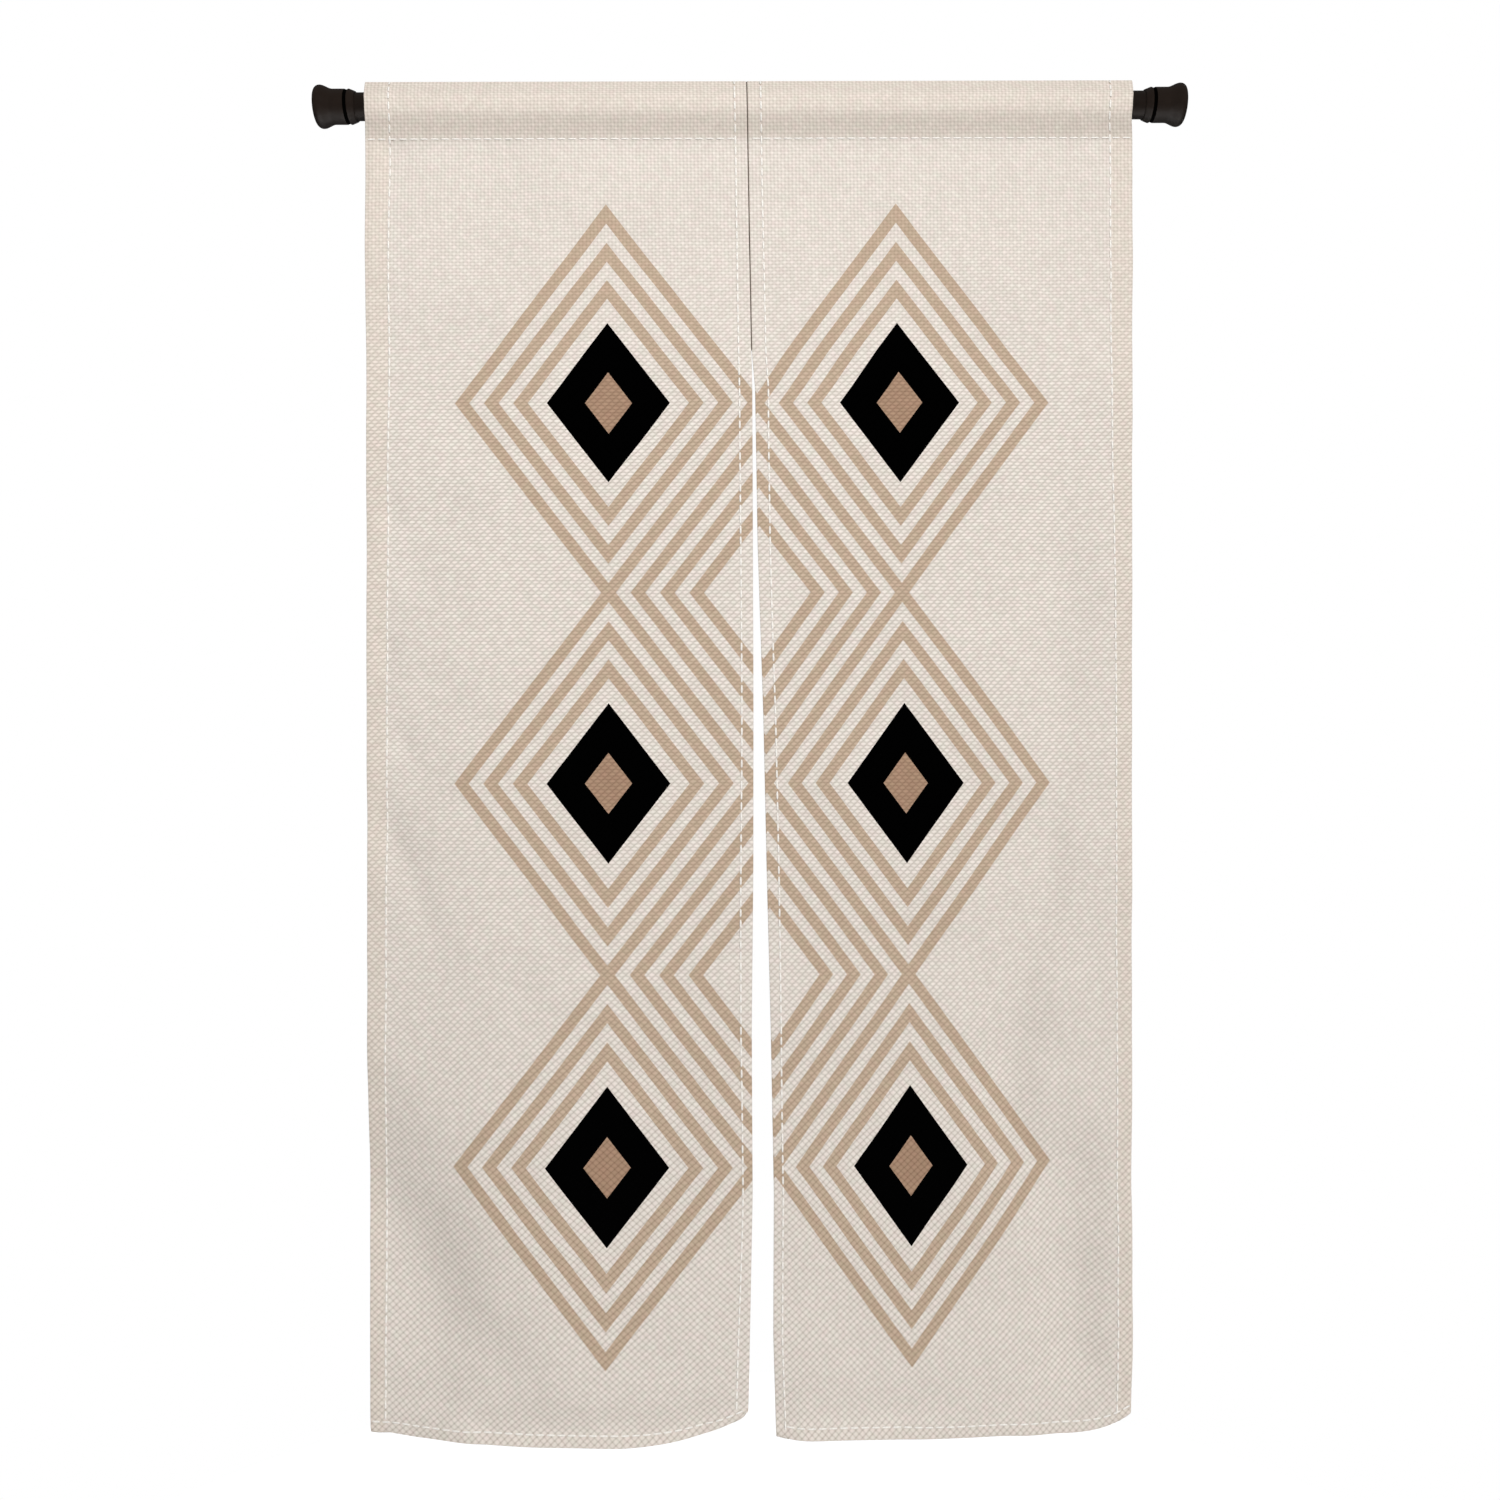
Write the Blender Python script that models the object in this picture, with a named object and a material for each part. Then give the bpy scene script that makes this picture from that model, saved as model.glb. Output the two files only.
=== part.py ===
# Two-panel noren, a split doorway curtain, hanging from a round rod with flared ends.
# Metres. +X runs along the rod to the right, +Y away from the viewer and +Z up.
# The origin is on the rod's axis, midway between its ends. A "drop" is a depth below that axis.

import math
from collections import namedtuple

import bmesh
import bpy
import numpy as np

# Rod: a thin-walled tube
ROD_RADIUS = 0.0145
ROD_WALL = 0.0010
ROD_HALF_LENGTH = 0.4660

# Turned pieces
TURNED_SIDES = 40
SHARP_DEGREES = 35
SAME_POINT = 0.00001            # points closer than this are one

# End caps: distances run from the middle of the rod outwards
FIT_GAP = 0.0003                # between pieces that touch
CAP_MOUTH = 0.4350
CAP_MOUTH_RADIUS = 0.0157
CAP_SHOULDER = 0.4416
CAP_WAIST_RADIUS = 0.0182
CAP_GROOVE = 0.4445             # middle of the ring groove
CAP_GROOVE_WIDTH = 0.0030
CAP_GROOVE_DEPTH = 0.0007
CAP_FLARE = 0.4600              # where the body starts to widen
CAP_RIM = 0.4737
CAP_RIM_RADIUS = 0.0223
CAP_FLARE_STEPS = 5
CAP_FLAT_RADIUS = 0.0178        # the flat end that presses on a door jamb
CAP_END = 0.4794
CAP_ROUND_STEPS = 4

# Cloth
CLOTH = 0.0012
HEM_CLOTH = 0.0018              # folded margins are thicker
OUTER_HEM = 0.0225
INNER_HEM = 0.0130
BOTTOM_HEM = 0.0128
HEM_STEP = 0.0008               # half the strip where a margin reaches its thickness
MARGIN_LINES = 2                # grid lines in a margin: its edge and its stitched side
PANEL_COLUMNS = 12              # between the two side margins
ROW_LENGTH = 0.045

# Rod pocket: the cloth's outer face, seen along the rod
POCKET_SLACK = 0.0005           # between the rod and the cloth that lies on it
CREST_HEIGHT = 0.0272           # pressed fold along the top
CREST_RADIUS = 0.0020
STITCH_DROP = 0.0367            # the line where front and back are sewn together
STITCH_HALF = CLOTH + FIT_GAP / 2
FLAP_TAIL = 0.0040              # the folded-back end, below the stitches
ARC_STEPS = 4

# Cloth below the stitches, along the sheet
LEFT_LENGTH = 1.4398
RIGHT_LENGTH = 1.4318
SLIT_TOP = 0.2724

# The panels' side edges, and how far each panel's middle hangs forward, at a few drops.
# Over the rod the edges are drawn in a little.
Hang = namedtuple("Hang", "drop left_outer left_inner right_inner right_outer left_forward right_forward")
HANGS = (
    Hang(-CREST_HEIGHT, -0.4271, -0.00385, -0.00355, 0.4230, 0.000, 0.000),
    Hang(0.0000, -0.4240, -0.00325, -0.00295, 0.4200, 0.000, 0.000),
    Hang(STITCH_DROP, -0.4271, -0.00265, -0.00235, 0.4230, 0.000, 0.000),
    Hang(0.1040, -0.4270, -0.00165, -0.00135, 0.4228, 0.001, 0.001),
    Hang(SLIT_TOP, -0.4262, 0.00105, 0.00135, 0.4224, 0.003, 0.003),
    Hang(0.3145, -0.4260, 0.0020, 0.0050, 0.4223, 0.004, 0.0035),
    Hang(0.4900, -0.4258, 0.0022, 0.0074, 0.4217, 0.007, 0.006),
    Hang(0.6690, -0.4256, 0.0024, 0.0130, 0.4211, 0.010, 0.009),
    Hang(0.8460, -0.4255, 0.0018, 0.0165, 0.4207, 0.014, 0.012),
    Hang(1.0230, -0.4256, -0.0003, 0.0205, 0.4202, 0.017, 0.014),
    Hang(1.2000, -0.4272, 0.0003, 0.0234, 0.4184, 0.020, 0.016),
    Hang(1.3550, -0.4256, -0.0030, 0.0224, 0.4198, 0.023, 0.018),
    Hang(1.4750, -0.4252, -0.0050, 0.0254, 0.4182, 0.027, 0.022),
)

# How much of that each panel takes up, from its outer edge (share 0) to its inner edge (share 1)
Arch = namedtuple("Arch", "share left right")
ARCHES = (
    Arch(0.00, 0.00, 0.00),
    Arch(0.15, 0.38, 0.20),
    Arch(0.30, 0.86, 0.45),
    Arch(0.50, 1.00, 0.70),
    Arch(0.75, 0.90, 0.92),
    Arch(0.90, 0.92, 1.00),
    Arch(1.00, 0.95, 0.95),
)

# A corner turns back past a line through (x, drop), more and more steeply: by "back" at "reach".
# Where the hem was sewn crooked or has shrunk, it is also drawn up there, by "rise".
Curl = namedtuple("Curl", "panel x drop toward_x toward_drop reach back rise")
CURLS = (
    Curl("left", -0.224, 1.474, -0.910, 0.416, 0.183, 0.003, 0.0045),
    Curl("left", -0.150, 1.474, 0.777, 0.629, 0.112, 0.010, 0.033),
    Curl("right", 0.345, 1.470, 0.928, 0.371, 0.075, 0.004, 0.025),
    Curl("right", 0.072, 1.474, -0.950, 0.312, 0.046, 0.004, 0.004),
)

# A soft step: past its middle line the cloth lies "back" further from the viewer, or nearer
Step = namedtuple("Step", "panel x drop toward_x toward_drop width back starts full")
STEPS = (
    Step("left", -0.290, 1.290, -0.865, 0.502, 0.090, 0.006, 0.90, 1.15),
    Step("right", 0.382, 1.270, 1.000, 0.000, 0.050, -0.004, 0.98, 1.18),
)

# Soft troughs along straight stretches
Trough = namedtuple("Trough", "panel x_high drop_high x_low drop_low width depth")
TROUGHS = (
    Trough("left", -0.400, 0.797, -0.345, 0.930, 0.020, 0.002),
    Trough("left", -0.430, 1.190, -0.388, 1.252, 0.048, 0.008),
    Trough("left", -0.388, 1.252, -0.336, 1.358, 0.048, 0.008),
    Trough("right", 0.343, 0.500, 0.335, 0.746, 0.034, 0.004),
    Trough("right", 0.335, 0.746, 0.282, 1.090, 0.036, 0.008),
    Trough("right", 0.340, 1.165, 0.356, 1.375, 0.038, 0.009),
)


def clear_scene():
    for thing in list(bpy.data.objects):
        bpy.data.objects.remove(thing, do_unlink=True)


def material(name, colour, roughness, metallic=0.0):
    made = bpy.data.materials.new(name)
    made.use_nodes = True
    shader = made.node_tree.nodes["Principled BSDF"]
    shader.inputs["Base Color"].default_value = (*colour, 1.0)
    shader.inputs["Roughness"].default_value = roughness
    shader.inputs["Metallic"].default_value = metallic
    return made


def object_from(name, shape, finish, parent):
    mesh = bpy.data.meshes.new(name)
    shape.to_mesh(mesh)
    shape.free()
    mesh.materials.append(finish)
    made = bpy.data.objects.new(name, mesh)
    made.parent = parent
    bpy.context.scene.collection.objects.link(made)
    return made


def smooth_step(value):
    """0 below 0, 1 above 1, level at both ends"""
    value = min(max(value, 0.0), 1.0)
    return value * value * (3.0 - 2.0 * value)


# ---- rod and caps ----

def turned(profile):
    """A solid of revolution about X from (x, radius) points; the profile's ends are on the axis or meet."""
    shape = bmesh.new()
    points = [shape.verts.new((x, 0.0, radius)) for x, radius in profile]
    closed = profile[0][1] > 0.0
    following = points[1:] + points[:1] if closed else points[1:]
    edges = [shape.edges.new(pair) for pair in zip(points, following)]
    bmesh.ops.spin(shape, geom=points + edges, cent=(0, 0, 0), axis=(1, 0, 0),
                   angle=math.tau, steps=TURNED_SIDES, use_merge=True)
    bmesh.ops.remove_doubles(shape, verts=shape.verts, dist=SAME_POINT)
    bmesh.ops.recalc_face_normals(shape, faces=shape.faces)
    return shape


def shade_round(made):
    made.data.shade_smooth()
    made.data.set_sharp_from_angle(angle=math.radians(SHARP_DEGREES))


def make_rod(finish, parent):
    inner = ROD_RADIUS - ROD_WALL
    profile = [(-ROD_HALF_LENGTH, inner), (-ROD_HALF_LENGTH, ROD_RADIUS),
               (ROD_HALF_LENGTH, ROD_RADIUS), (ROD_HALF_LENGTH, inner)]
    shade_round(object_from("rod", turned(profile), finish, parent))


def cap_profile():
    """From the bottom of the bore, out of its mouth, over the outside to the middle of the flat end"""
    bore = ROD_RADIUS + FIT_GAP
    bore_end = ROD_HALF_LENGTH + FIT_GAP
    half_groove = CAP_GROOVE_WIDTH / 2
    groove_side = CAP_GROOVE_DEPTH          # its walls slope at 45 degrees
    floor = CAP_WAIST_RADIUS - CAP_GROOVE_DEPTH
    profile = [(bore_end, 0.0), (bore_end, bore), (CAP_MOUTH, bore),
               (CAP_MOUTH, CAP_MOUTH_RADIUS), (CAP_SHOULDER, CAP_WAIST_RADIUS),
               (CAP_GROOVE - half_groove, CAP_WAIST_RADIUS),
               (CAP_GROOVE - half_groove + groove_side, floor),
               (CAP_GROOVE + half_groove - groove_side, floor),
               (CAP_GROOVE + half_groove, CAP_WAIST_RADIUS)]
    for step in range(CAP_FLARE_STEPS + 1):
        share = step / CAP_FLARE_STEPS
        profile.append((CAP_FLARE + (CAP_RIM - CAP_FLARE) * share,
                        CAP_WAIST_RADIUS + (CAP_RIM_RADIUS - CAP_WAIST_RADIUS) * smooth_step(share)))
    for step in range(1, CAP_ROUND_STEPS + 1):
        turn = math.pi / 2 * step / CAP_ROUND_STEPS
        profile.append((CAP_RIM + (CAP_END - CAP_RIM) * math.sin(turn),
                        CAP_FLAT_RADIUS + (CAP_RIM_RADIUS - CAP_FLAT_RADIUS) * math.cos(turn)))
    profile.append((CAP_END, 0.0))
    return profile


def make_caps(finish, parent):
    for side, turn in (("right", 0.0), ("left", math.pi)):
        cap = object_from("end_cap_" + side, turned(cap_profile()), finish, parent)
        cap.rotation_euler.z = turn
        shade_round(cap)


# ---- cloth ----

def read_table(rows, key, at, column):
    """A column's value between the rows on both sides of at"""
    return np.interp(at, [getattr(row, key) for row in rows], [getattr(row, column) for row in rows])


def edge_at(column, drop):
    return read_table(HANGS, "drop", drop, column)


def past(line, x, drop):
    """Distance past a line, in the direction it names"""
    return (x - line.x) * line.toward_x + (drop - line.drop) * line.toward_drop


def curled(panel, x, drop, measure):
    """What the panel's curls add up to at a point: how far back, or how far up"""
    return sum(getattr(curl, measure) * (max(past(curl, x, drop), 0.0) / curl.reach) ** 2
               for curl in CURLS if curl.panel == panel)


def trough_share(trough, x, drop):
    """1 on the trough's line, fading evenly to both sides and past its ends"""
    along_x = trough.x_low - trough.x_high
    along_drop = trough.drop_low - trough.drop_high
    run = (x - trough.x_high) * along_x + (drop - trough.drop_high) * along_drop
    share = min(max(run / (along_x ** 2 + along_drop ** 2), 0.0), 1.0)
    away = math.hypot(x - trough.x_high - share * along_x, drop - trough.drop_high - share * along_drop)
    return math.exp(-(away / trough.width) ** 2)


def sheet_y(panel, inward, x, drop):
    """How far from the viewer the hanging sheet's face lies, measured from the plane of the rod;
    inward is 0 at the panel's outer edge and 1 at its inner edge"""
    y = -STITCH_HALF - edge_at(panel + "_forward", drop) * read_table(ARCHES, "share", inward, panel)
    y += curled(panel, x, drop, "back")
    for step in STEPS:
        if step.panel == panel:
            grown = smooth_step((drop - step.starts) / (step.full - step.starts))
            y += step.back * grown * smooth_step(past(step, x, drop) / step.width + 0.5)
    y += max([t.depth * trough_share(t, x, drop) for t in TROUGHS if t.panel == panel])
    return y


def pocket_path():
    """(y, z) of the cloth's outer face from the front stitches, over the crest, to the flap's end"""
    wrap = ROD_RADIUS + POCKET_SLACK + CLOTH
    reach = math.hypot(STITCH_HALF, STITCH_DROP)
    leaves_rod = math.pi - math.atan2(STITCH_HALF, STITCH_DROP) - math.acos(wrap / reach)
    meets_rod = math.pi / 2 - math.asin((wrap - CREST_RADIUS) / (CREST_HEIGHT - CREST_RADIUS))
    front = [(-STITCH_HALF, -STITCH_DROP)]
    for turn in np.linspace(leaves_rod, meets_rod, ARC_STEPS + 1):
        front.append((-wrap * math.sin(turn), wrap * math.cos(turn)))
    crest = []
    for turn in np.linspace(-meets_rod, meets_rod, ARC_STEPS + 1):
        crest.append((CREST_RADIUS * math.sin(turn), CREST_HEIGHT - CREST_RADIUS * (1 - math.cos(turn))))
    back = [(-y, z) for y, z in reversed(front)]
    return front + crest + back + [(STITCH_HALF, -STITCH_DROP - FLAP_TAIL)]


def hanging_lengths(length):
    """Distances below the stitches, from the bottom edge up, with a close pair at the hem's top"""
    rows = np.linspace(0.0, length - BOTTOM_HEM - HEM_STEP, round(length / ROW_LENGTH) + 1)
    below = [length, length - BOTTOM_HEM + HEM_STEP]
    return below + list(rows[:0:-1])


def column_shares(panel, width):
    """Places across the panel from 0 to 1, left to right, with close pairs where the margins start"""
    left, right = (OUTER_HEM, INNER_HEM) if panel == "left" else (INNER_HEM, OUTER_HEM)
    field = np.linspace(left + HEM_STEP, width - right - HEM_STEP, PANEL_COLUMNS + 1)
    places = [0.0, left - HEM_STEP, *field, width - right + HEM_STEP, width]
    return [place / width for place in places]


def hanging_column(panel, inward, x_at, length):
    """Points of one column from the bottom edge up to just below the stitches: as the sheet leans,
    its rows keep their spacing along the cloth"""
    points = []
    drop = STITCH_DROP
    done = 0.0
    y = -STITCH_HALF
    for at in reversed(hanging_lengths(length)):
        x = x_at(STITCH_DROP + at)
        new_y = sheet_y(panel, inward, x, STITCH_DROP + at)
        drop += math.sqrt((at - done) ** 2 - (new_y - y) ** 2)
        done, y = at, new_y
        points.append((x, y, curled(panel, x, STITCH_DROP + at, "rise") - drop))
    return points[::-1]


def panel_shape(panel, length):
    """The sheet's outer face as a grid, columns left to right and rows from the hem over the rod"""
    sides = ("left_outer", "left_inner") if panel == "left" else ("right_inner", "right_outer")
    low, high = (edge_at(side, STITCH_DROP) for side in sides)
    shares = column_shares(panel, high - low)
    header = pocket_path()
    hanging = len(hanging_lengths(length))
    across, up = len(shares) - 1, hanging + len(header) - 1
    shape = bmesh.new()
    bmesh.ops.create_grid(shape, x_segments=across, y_segments=up, size=0.5)
    margin = shape.verts.layers.deform.verify()
    columns = []
    for share in shares:
        def x_at(drop):
            left, right = (edge_at(side, drop) for side in sides)
            return left + (right - left) * share
        inward = share if panel == "left" else 1 - share
        column = hanging_column(panel, inward, x_at, length)
        column += [(x_at(-z), y, z) for y, z in header]
        columns.append(column)
    for vert in shape.verts:
        i = round((vert.co.x + 0.5) * across)
        j = round((vert.co.y + 0.5) * up)
        vert.co = columns[i][j]
        in_margin = min(i, across - i, j) < MARGIN_LINES
        vert[margin][0] = 1.0 if in_margin and j < hanging else 0.0
    return shape


def make_panel(panel, length, finish, parent):
    made = object_from("panel_" + panel, panel_shape(panel, length), finish, parent)
    made.vertex_groups.new(name="margin")
    sheet = made.modifiers.new("thickness", "SOLIDIFY")
    sheet.thickness = HEM_CLOTH
    sheet.vertex_group = "margin"
    sheet.thickness_vertex_group = CLOTH / HEM_CLOTH
    sheet.offset = -1.0
    sheet.use_even_offset = True
    made.data.shade_smooth()


def main():
    clear_scene()
    curtain = bpy.data.objects.new("curtain", None)
    bpy.context.scene.collection.objects.link(curtain)
    linen = material("cream_cloth", (0.72, 0.66, 0.58), 0.92)
    bronze = material("dark_bronze", (0.022, 0.015, 0.011), 0.45, 0.3)
    make_rod(bronze, curtain)
    make_caps(bronze, curtain)
    make_panel("left", LEFT_LENGTH, linen, curtain)
    make_panel("right", RIGHT_LENGTH, linen, curtain)


main()
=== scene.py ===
import math

import bmesh
import bpy
import numpy as np
from mathutils import Matrix, Vector


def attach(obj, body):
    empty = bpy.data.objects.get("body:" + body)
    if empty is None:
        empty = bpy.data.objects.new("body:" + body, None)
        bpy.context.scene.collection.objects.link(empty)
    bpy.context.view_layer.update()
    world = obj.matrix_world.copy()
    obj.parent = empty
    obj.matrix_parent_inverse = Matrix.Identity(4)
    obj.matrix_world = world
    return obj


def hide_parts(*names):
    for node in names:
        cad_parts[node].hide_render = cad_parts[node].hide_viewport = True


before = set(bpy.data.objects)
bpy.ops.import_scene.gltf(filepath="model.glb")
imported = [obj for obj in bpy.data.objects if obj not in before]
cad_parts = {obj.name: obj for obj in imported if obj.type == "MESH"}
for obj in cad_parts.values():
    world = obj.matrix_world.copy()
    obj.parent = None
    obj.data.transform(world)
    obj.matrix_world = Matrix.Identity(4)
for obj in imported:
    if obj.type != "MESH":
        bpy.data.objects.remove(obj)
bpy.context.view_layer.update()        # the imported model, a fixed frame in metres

# A two-panel noren on its rod. +X runs along the rod, +Y away from the viewer, +Z up.
# The origin is on the rod's axis. A drop is a distance below that axis.
# Along the cloth, distances are counted from the stitches under the rod: down the front they
# are positive, up over the rod and down the back they are negative.

rootBody = "root"

cloth = {
    "thickness": 0.0007,
    "foldDepth": 0.0015,         # between the outer faces of a folded hem
    "stackDepth": 0.0031,        # the same where two hems cross
    "stackFade": 0.004,          # the cloth eases from one depth to the other over this
    "frontFace": -0.00135,       # y of the sheet's face at the stitches under the rod
    "stitchDrop": 0.0367,
    "bottomHem": 0.0128,
    "sidePast": 0.0030,          # how far a hem's folded-back part reaches past its stitches,
    "bottomPast": 0.0035,        # at the sides and at the bottom
    "outerCorner": 0.002,        # radius of the bottom corner at a panel's outer edge
    "seamEnd": 0.2357,           # the seam between the panels ends here, and the slit begins
    "placesUp": 0.020,           # over the rod, columns keep the places they have so far above the stitches
    "rowStep": 0.00383,          # three mesh rows to a stitch
    "hemShares": [0.0, 0.25, 0.5, 0.72, 0.9, 1.0],      # mesh columns from the edge to the stitches,
    "besideHem": 0.0018,         # and the next one
    "stripSteps": 4,             # over the folded-back part of a hem
    "turnSteps": 4,              # round a folded edge
    "slopeReach": 0.002,         # slopes are taken over so large a share across, and so far down
}

# Rod pocket, seen along the rod
pocket = {
    "wrapRadius": 0.0162,        # the cloth's face where it lies on the rod
    "crestHeight": 0.0272,       # pressed fold along the top
    "crestRadius": 0.0020,
    "tail": 0.0040,              # the flap's end below the stitches
    "flapNears": 0.030,          # the flap comes up against the front over this length
    "leanAtStitches": 0.75,      # share of its full lean with which the front leaves the stitches
    "leanFull": 0.30,            # share of the way up to the rod's axis where it has all of it,
    "bendFrom": 0.45,            # and those between which it turns upright
    "bendTo": 0.95,
    "sideSteps": 15, "arcSteps": 7, "crestSteps": 6,
    "straightStep": 0.0036,
    "slopeReach": 0.0008,        # and these over so far along the path
}

# Side edges of both panels, and how far the middle of each hangs forward
hang = {
    "drop": [-0.0272, 0.0, 0.018, 0.0367, 0.104, 0.2724, 0.3145, 0.490, 0.669, 0.846, 1.023,
             1.200, 1.355, 1.475, 1.53],
    "leftOuter": [-0.4260, -0.4228, -0.4228, -0.4258, -0.4263, -0.4252, -0.4252, -0.4252, -0.4256,
                  -0.4255, -0.4256, -0.4272, -0.4256, -0.4252, -0.4251],
    "leftInner": [-0.00385, -0.00325, -0.00295, -0.00265, -0.00165, 0.00105, 0.0020, 0.0022, 0.0024,
                  0.0018, -0.0003, 0.0003, -0.0030, -0.0050, -0.0059],
    "rightInner": [-0.00355, -0.00295, -0.00265, -0.00235, -0.00135, 0.00135, 0.0050, 0.0074, 0.0130,
                   0.0165, 0.0205, 0.0234, 0.0224, 0.0254, 0.0268],
    "rightOuter": [0.4232, 0.4197, 0.4191, 0.4233, 0.4236, 0.4226, 0.4224, 0.4218, 0.4211, 0.4207,
                   0.4202, 0.4184, 0.4198, 0.4182, 0.4175],
    "leftForward": [0, 0, 0, 0, 0.001, 0.003, 0.004, 0.007, 0.010, 0.014, 0.017, 0.020, 0.023, 0.027, 0.029],
    "rightForward": [0, 0, 0, 0, 0.001, 0.003, 0.0035, 0.006, 0.009, 0.012, 0.014, 0.016, 0.018,
                     0.022, 0.024],
    "edgeSoft": 0.006, "forwardSoft": 0.06,
}

# How much of that is taken up from a panel's outer edge (0) to its inner edge (1)
arch = {
    "across": [0.0, 0.15, 0.30, 0.50, 0.75, 0.90, 1.0],
    "left": [0.0, 0.38, 0.86, 1.0, 0.90, 0.92, 0.95],
    "right": [0.0, 0.20, 0.45, 0.70, 0.92, 1.0, 0.95],
    "soft": 0.07,
}

# Widths of the side hems
hems = {
    "drop": [0.076, 0.13, 0.27, 0.36, 0.46, 0.60, 0.72, 0.86, 1.00, 1.10, 1.23, 1.38, 1.47],
    "leftOuter": [0.0270, 0.0263, 0.0255, 0.0248, 0.0239, 0.0232, 0.0226, 0.0218, 0.0213, 0.0204,
                  0.0189, 0.0179, 0.0175],
    "rightOuter": [0.0248, 0.0249, 0.0238, 0.0225, 0.0203, 0.0180, 0.0175, 0.0176, 0.0169, 0.0165,
                   0.0156, 0.0164, 0.0166],
    "leftInner": [0.0135, 0.0138, 0.0143, 0.0141, 0.0136, 0.0129, 0.0128, 0.0139, 0.0122, 0.0111,
                  0.0104, 0.0130, 0.0134],
    "rightInner": [0.0149, 0.0150, 0.0156, 0.0139, 0.0139, 0.0132, 0.0135, 0.0133, 0.0116, 0.0106,
                   0.0101, 0.0099, 0.0108],
    "soft": 0.05,
}

panels = {
    "left": {"node": "panel_left", "side": -1, "length": 1.4398, "corner": 0.008, "seed": 3},
    "right": {"node": "panel_right", "side": 1, "length": 1.4318, "corner": 0.0015, "seed": 8},
}
fieldColumns = 68                # between a panel's two side hems

# Corners turn back past a line through (x, drop), ever more steeply, by back at reach, and the
# crooked hem draws them up, by rise.
curls = {
    "left": [{"x": -0.224, "drop": 1.474, "towards": (-0.910, 0.416),
              "reach": 0.183, "back": 0.003, "rise": 0.0045},
             {"x": -0.150, "drop": 1.474, "towards": (0.777, 0.629),
              "reach": 0.112, "back": 0.010, "rise": 0.033}],
    "right": [{"x": 0.345, "drop": 1.470, "towards": (0.928, 0.371),
               "reach": 0.075, "back": 0.004, "rise": 0.025},
              {"x": 0.072, "drop": 1.474, "towards": (-0.950, 0.312),
               "reach": 0.046, "back": 0.004, "rise": 0.004}],
}

# Soft steps: past its middle line the cloth lies further from the viewer, or nearer
steps = {
    "left": {"x": -0.290, "drop": 1.290, "towards": (-0.865, 0.502), "width": 0.090,
             "back": 0.006, "starts": 0.90, "full": 1.15},
    "right": {"x": 0.382, "drop": 1.270, "towards": (1.0, 0.0), "width": 0.050,
              "back": -0.004, "starts": 0.98, "full": 1.18},
}

# Troughs: how wide each is on its steep and its easy side, and points of (x, drop, depth) along it.
# A line that runs down is steep on its right, and one that runs to the left is steep below.
creases = {
    "left": [
        (0.010, 0.010, [(-0.393, 0.446, 0.0022), (-0.396, 0.460, 0.0022)]),
        (0.011, 0.011, [(-0.400, 0.598, 0.0026), (-0.403, 0.620, 0.0022)]),
        (0.013, 0.013, [(-0.388, 0.697, 0.0022), (-0.384, 0.710, 0.0022)]),
        (0.015, 0.022, [(-0.405, 0.765, 0.0004), (-0.400, 0.797, 0.0030), (-0.358, 0.894, 0.0030),
                        (-0.335, 0.960, 0.0)]),
        (0.050, 0.060, [(-0.440, 1.110, 0.0005), (-0.438, 1.155, 0.0056), (-0.430, 1.190, 0.0098),
                        (-0.412, 1.223, 0.0110), (-0.388, 1.252, 0.0108), (-0.359, 1.310, 0.0100),
                        (-0.336, 1.358, 0.0078), (-0.290, 1.410, 0.0034)]),
        (0.016, 0.028, [(-0.060, 1.458, 0.0058), (-0.290, 1.459, 0.0058)]),
        (0.016, 0.028, [(-0.345, 1.430, 0.0018), (-0.395, 1.430, 0.0018)])],
    "right": [
        (0.032, 0.040, [(0.340, 0.380, 0.0005), (0.343, 0.500, 0.0062), (0.340, 0.658, 0.0062),
                        (0.333, 0.768, 0.0055), (0.317, 0.878, 0.0075), (0.290, 0.990, 0.0100),
                        (0.282, 1.060, 0.0115), (0.281, 1.120, 0.0110), (0.286, 1.190, 0.0)]),
        (0.014, 0.022, [(0.340, 0.770, 0.0), (0.338, 0.815, 0.0022), (0.334, 0.890, 0.0022),
                        (0.330, 0.930, 0.0)]),
        (0.038, 0.044, [(0.334, 1.080, 0.0), (0.336, 1.165, 0.0090), (0.346, 1.290, 0.0112),
                        (0.356, 1.375, 0.0096)]),
        (0.016, 0.030, [(0.160, 1.444, 0.0048), (0.035, 1.444, 0.0048)])],
}
creaseBlend = 0.02               # from the steep side to the easy one

# Waves all over the sheet, which grow below the stitches under the rod
unevenness = {"waves": 14, "depth": 0.00012, "shortest": 0.05, "longest": 0.22, "fadeIn": 0.08}

stitching = {
    "pitch": 0.0117,
    "parts": 5,                  # a stitch takes four of the five parts of its pitch
    "bluntness": 0.6,            # 1 is pointed
    "width": 0.0024,
    "pocketWidth": 0.0018,       # of the stitches under the rod
    "height": 0.0007,
    "proud": 0.00025,            # how far a stitch's middle stands off the cloth
    "sides": 6, "rings": 5,
    "straightness": 0.9,         # no stitch where its ends are nearer than this share of its length
    "groove": 0.00018,           # how deep the thread draws the cloth in, and how much of that varies
    "grooveVaries": 0.25,
    "grooveReach": 0.0016,
    "fineStep": 0.0012,          # between the points that a line of stitches is laid along
    "endGap": 0.001,             # between a side line and the cloth's ends
    "crossEnds": 0.002,          # share of the width that a cross line leaves at each side
    "crossPoints": 260, "crossRows": 380, "seamPoints": 300,
    "seamPitch": 0.0026,
    "seamLength": 0.0034,
    "seamDepth": 0.0012,         # behind the panels' faces
    "seamGap": 0.0007,           # how far the seam draws in each panel's edge
    "seamReach": 0.005,
    "seamFade": 0.008,           # at the seam's lower end
}

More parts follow.
